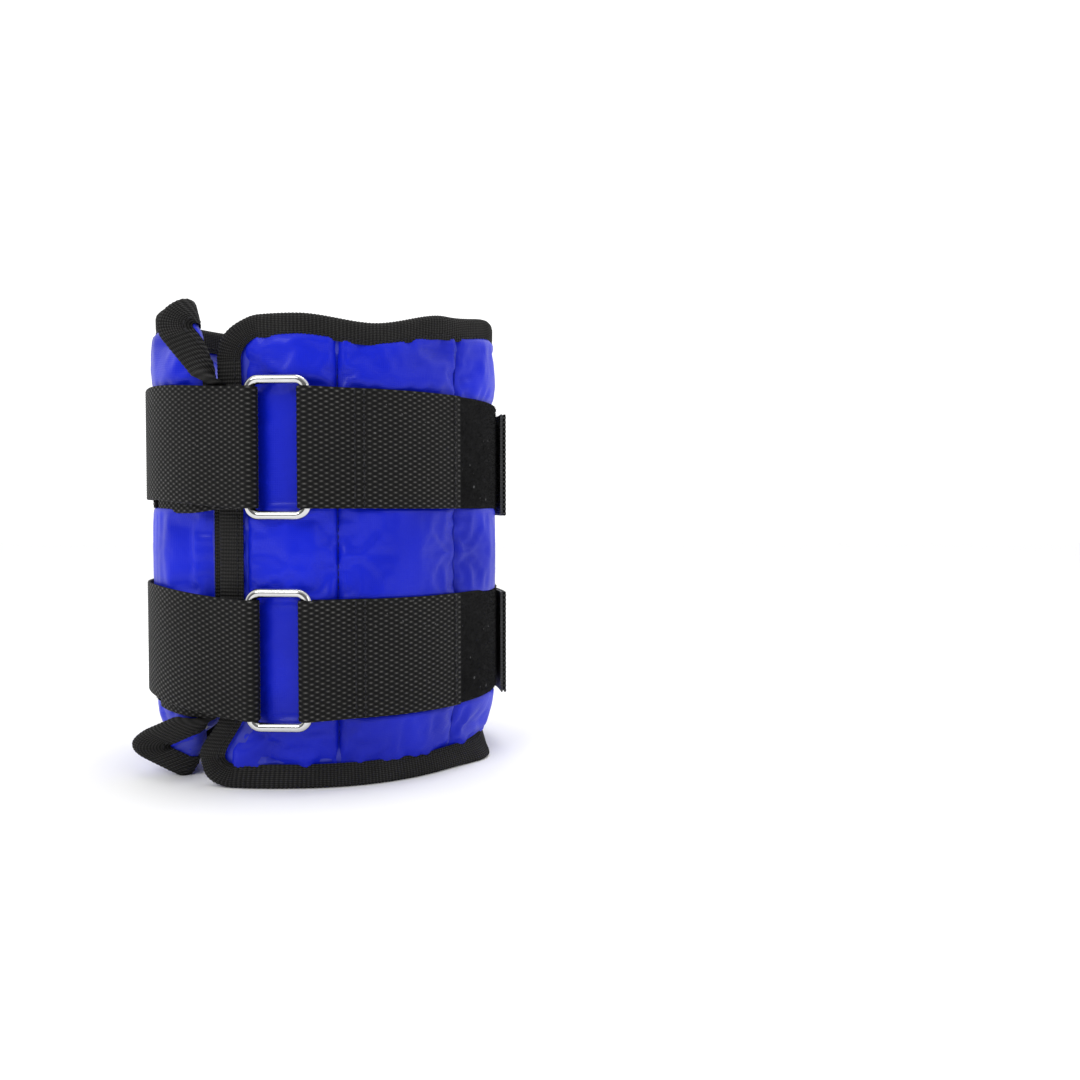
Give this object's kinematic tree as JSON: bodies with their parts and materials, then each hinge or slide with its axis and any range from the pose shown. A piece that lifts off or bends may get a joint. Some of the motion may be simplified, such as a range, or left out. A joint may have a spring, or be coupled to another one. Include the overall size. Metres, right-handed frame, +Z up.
{
  "type": "ankle cuff weight",
  "caption": "Padded fabric cuff with weight-filled channels, bound edges and two hook-and-loop straps that each run through a steel ring.",
  "frame": {"origin": "middle of the plan outline on the plane the cuff stands on", "axes": "+Z up along the ankle, -Y towards the rings and the meeting edges, +X to the right seen from the front"},
  "size_m": [0.1744, 0.1712, 0.197],
  "materials": {
    "cover_nylon": "glossy coated nylon, royal blue",
    "lining_nylon": "coated nylon lining, royal blue",
    "bag_film": "welded film pouch filled with iron shot",
    "binding_tape": "black ribbed binding tape",
    "webbing": "black coarse-woven polypropylene webbing",
    "loop_pile": "black brushed loop tape",
    "hook_tape": "black moulded hook tape",
    "ring_steel": "nickel-plated steel wire"
  },
  "bodies": {
    "cuff_band": {"cover_outer": "cover_nylon", "lining_inner": "lining_nylon", "weight_bag_1": "bag_film", "weight_bag_2": "bag_film", "weight_bag_3": "bag_film", "weight_bag_4": "bag_film", "weight_bag_5": "bag_film", "weight_bag_6": "bag_film", "weight_bag_7": "bag_film", "weight_bag_8": "bag_film", "binding_top": "binding_tape", "binding_bottom": "binding_tape", "binding_right_edge": "binding_tape", "binding_left_edge": "binding_tape", "upper_ring_anchor": "webbing", "upper_loop_tape": "loop_pile", "upper_tail_base": "webbing", "lower_ring_anchor": "webbing", "lower_loop_tape": "loop_pile", "lower_tail_base": "webbing"},
    "upper_ring_link": {"upper_ring": "ring_steel", "upper_tail_fold": "webbing"},
    "upper_strap_1": {"upper_tail_1": "webbing"},
    "upper_strap_2": {"upper_tail_2": "webbing"},
    "upper_strap_3": {"upper_tail_3": "webbing"},
    "upper_strap_4": {"upper_tail_4": "webbing"},
    "upper_strap_5": {"upper_tail_5": "webbing"},
    "upper_strap_6": {"upper_tail_6": "webbing"},
    "upper_strap_7": {"upper_tail_7": "webbing", "upper_hook_tape_1": "hook_tape"},
    "upper_strap_8": {"upper_tail_8": "webbing", "upper_hook_tape_2": "hook_tape"},
    "lower_ring_link": {"lower_ring": "ring_steel", "lower_tail_fold": "webbing"},
    "lower_strap_1": {"lower_tail_1": "webbing"},
    "lower_strap_2": {"lower_tail_2": "webbing"},
    "lower_strap_3": {"lower_tail_3": "webbing"},
    "lower_strap_4": {"lower_tail_4": "webbing"},
    "lower_strap_5": {"lower_tail_5": "webbing"},
    "lower_strap_6": {"lower_tail_6": "webbing"},
    "lower_strap_7": {"lower_tail_7": "webbing", "lower_hook_tape_1": "hook_tape"},
    "lower_strap_8": {"lower_tail_8": "webbing", "lower_hook_tape_2": "hook_tape"}
  },
  "joints": [
    {"name": "upper_ring_swing", "type": "hinge", "parent": "cuff_band", "child": "upper_ring_link", "pos_m": [0.00461, -0.08162, 0.143], "axis": [0, 0, 1], "range_deg": [0, 15]},
    {"name": "upper_strap_bend_1", "type": "hinge", "parent": "upper_ring_link", "child": "upper_strap_1", "pos_m": [-0.02386, -0.0825, 0.143], "axis": [0, 0, 1], "range_deg": [0, 25]},
    {"name": "upper_strap_bend_2", "type": "hinge", "parent": "upper_strap_1", "child": "upper_strap_2", "pos_m": [-0.06028, -0.06043, 0.143], "axis": [0, 0, 1], "range_deg": [0, 30]},
    {"name": "upper_strap_bend_3", "type": "hinge", "parent": "upper_strap_2", "child": "upper_strap_3", "pos_m": [-0.08502, -0.01779, 0.143], "axis": [0, 0, 1], "range_deg": [0, 34]},
    {"name": "upper_strap_bend_4", "type": "hinge", "parent": "upper_strap_3", "child": "upper_strap_4", "pos_m": [-0.08168, 0.03139, 0.143], "axis": [0, 0, 1], "range_deg": [0, 34]},
    {"name": "upper_strap_bend_5", "type": "hinge", "parent": "upper_strap_4", "child": "upper_strap_5", "pos_m": [-0.05141, 0.0703, 0.143], "axis": [0, 0, 1], "range_deg": [0, 34]},
    {"name": "upper_strap_bend_6", "type": "hinge", "parent": "upper_strap_5", "child": "upper_strap_6", "pos_m": [-0.00456, 0.08563, 0.143], "axis": [0, 0, 1], "range_deg": [0, 34]},
    {"name": "upper_strap_bend_7", "type": "hinge", "parent": "upper_strap_6", "child": "upper_strap_7", "pos_m": [0.04285, 0.07214, 0.143], "axis": [0, 0, 1], "range_deg": [0, 34]},
    {"name": "upper_strap_bend_8", "type": "hinge", "parent": "upper_strap_7", "child": "upper_strap_8", "pos_m": [0.07461, 0.03444, 0.143], "axis": [0, 0, 1], "range_deg": [0, 17]},
    {"name": "lower_ring_swing", "type": "hinge", "parent": "cuff_band", "child": "lower_ring_link", "pos_m": [0.00461, -0.08162, 0.0555], "axis": [0, 0, 1], "range_deg": [0, 15]},
    {"name": "lower_strap_bend_1", "type": "hinge", "parent": "lower_ring_link", "child": "lower_strap_1", "pos_m": [-0.02386, -0.0825, 0.0555], "axis": [0, 0, 1], "range_deg": [0, 25]},
    {"name": "lower_strap_bend_2", "type": "hinge", "parent": "lower_strap_1", "child": "lower_strap_2", "pos_m": [-0.06028, -0.06043, 0.0555], "axis": [0, 0, 1], "range_deg": [0, 30]},
    {"name": "lower_strap_bend_3", "type": "hinge", "parent": "lower_strap_2", "child": "lower_strap_3", "pos_m": [-0.08502, -0.01779, 0.0555], "axis": [0, 0, 1], "range_deg": [0, 34]},
    {"name": "lower_strap_bend_4", "type": "hinge", "parent": "lower_strap_3", "child": "lower_strap_4", "pos_m": [-0.08168, 0.03139, 0.0555], "axis": [0, 0, 1], "range_deg": [0, 34]},
    {"name": "lower_strap_bend_5", "type": "hinge", "parent": "lower_strap_4", "child": "lower_strap_5", "pos_m": [-0.05141, 0.0703, 0.0555], "axis": [0, 0, 1], "range_deg": [0, 34]},
    {"name": "lower_strap_bend_6", "type": "hinge", "parent": "lower_strap_5", "child": "lower_strap_6", "pos_m": [-0.00456, 0.08563, 0.0555], "axis": [0, 0, 1], "range_deg": [0, 34]},
    {"name": "lower_strap_bend_7", "type": "hinge", "parent": "lower_strap_6", "child": "lower_strap_7", "pos_m": [0.04285, 0.07214, 0.0555], "axis": [0, 0, 1], "range_deg": [0, 34]},
    {"name": "lower_strap_bend_8", "type": "hinge", "parent": "lower_strap_7", "child": "lower_strap_8", "pos_m": [0.07461, 0.03444, 0.0555], "axis": [0, 0, 1], "range_deg": [0, 17]}
  ],
  "couplings": [
    {"joint": "upper_strap_bend_1", "follows": "upper_ring_swing", "ratio": 1.6667},
    {"joint": "upper_strap_bend_2", "follows": "upper_ring_swing", "ratio": 2},
    {"joint": "upper_strap_bend_3", "follows": "upper_ring_swing", "ratio": 2.2667},
    {"joint": "upper_strap_bend_4", "follows": "upper_ring_swing", "ratio": 2.2667},
    {"joint": "upper_strap_bend_5", "follows": "upper_ring_swing", "ratio": 2.2667},
    {"joint": "upper_strap_bend_6", "follows": "upper_ring_swing", "ratio": 2.2667},
    {"joint": "upper_strap_bend_7", "follows": "upper_ring_swing", "ratio": 2.2667},
    {"joint": "upper_strap_bend_8", "follows": "upper_ring_swing", "ratio": 1.1333},
    {"joint": "lower_strap_bend_1", "follows": "lower_ring_swing", "ratio": 1.6667},
    {"joint": "lower_strap_bend_2", "follows": "lower_ring_swing", "ratio": 2},
    {"joint": "lower_strap_bend_3", "follows": "lower_ring_swing", "ratio": 2.2667},
    {"joint": "lower_strap_bend_4", "follows": "lower_ring_swing", "ratio": 2.2667},
    {"joint": "lower_strap_bend_5", "follows": "lower_ring_swing", "ratio": 2.2667},
    {"joint": "lower_strap_bend_6", "follows": "lower_ring_swing", "ratio": 2.2667},
    {"joint": "lower_strap_bend_7", "follows": "lower_ring_swing", "ratio": 2.2667},
    {"joint": "lower_strap_bend_8", "follows": "lower_ring_swing", "ratio": 1.1333}
  ]
}
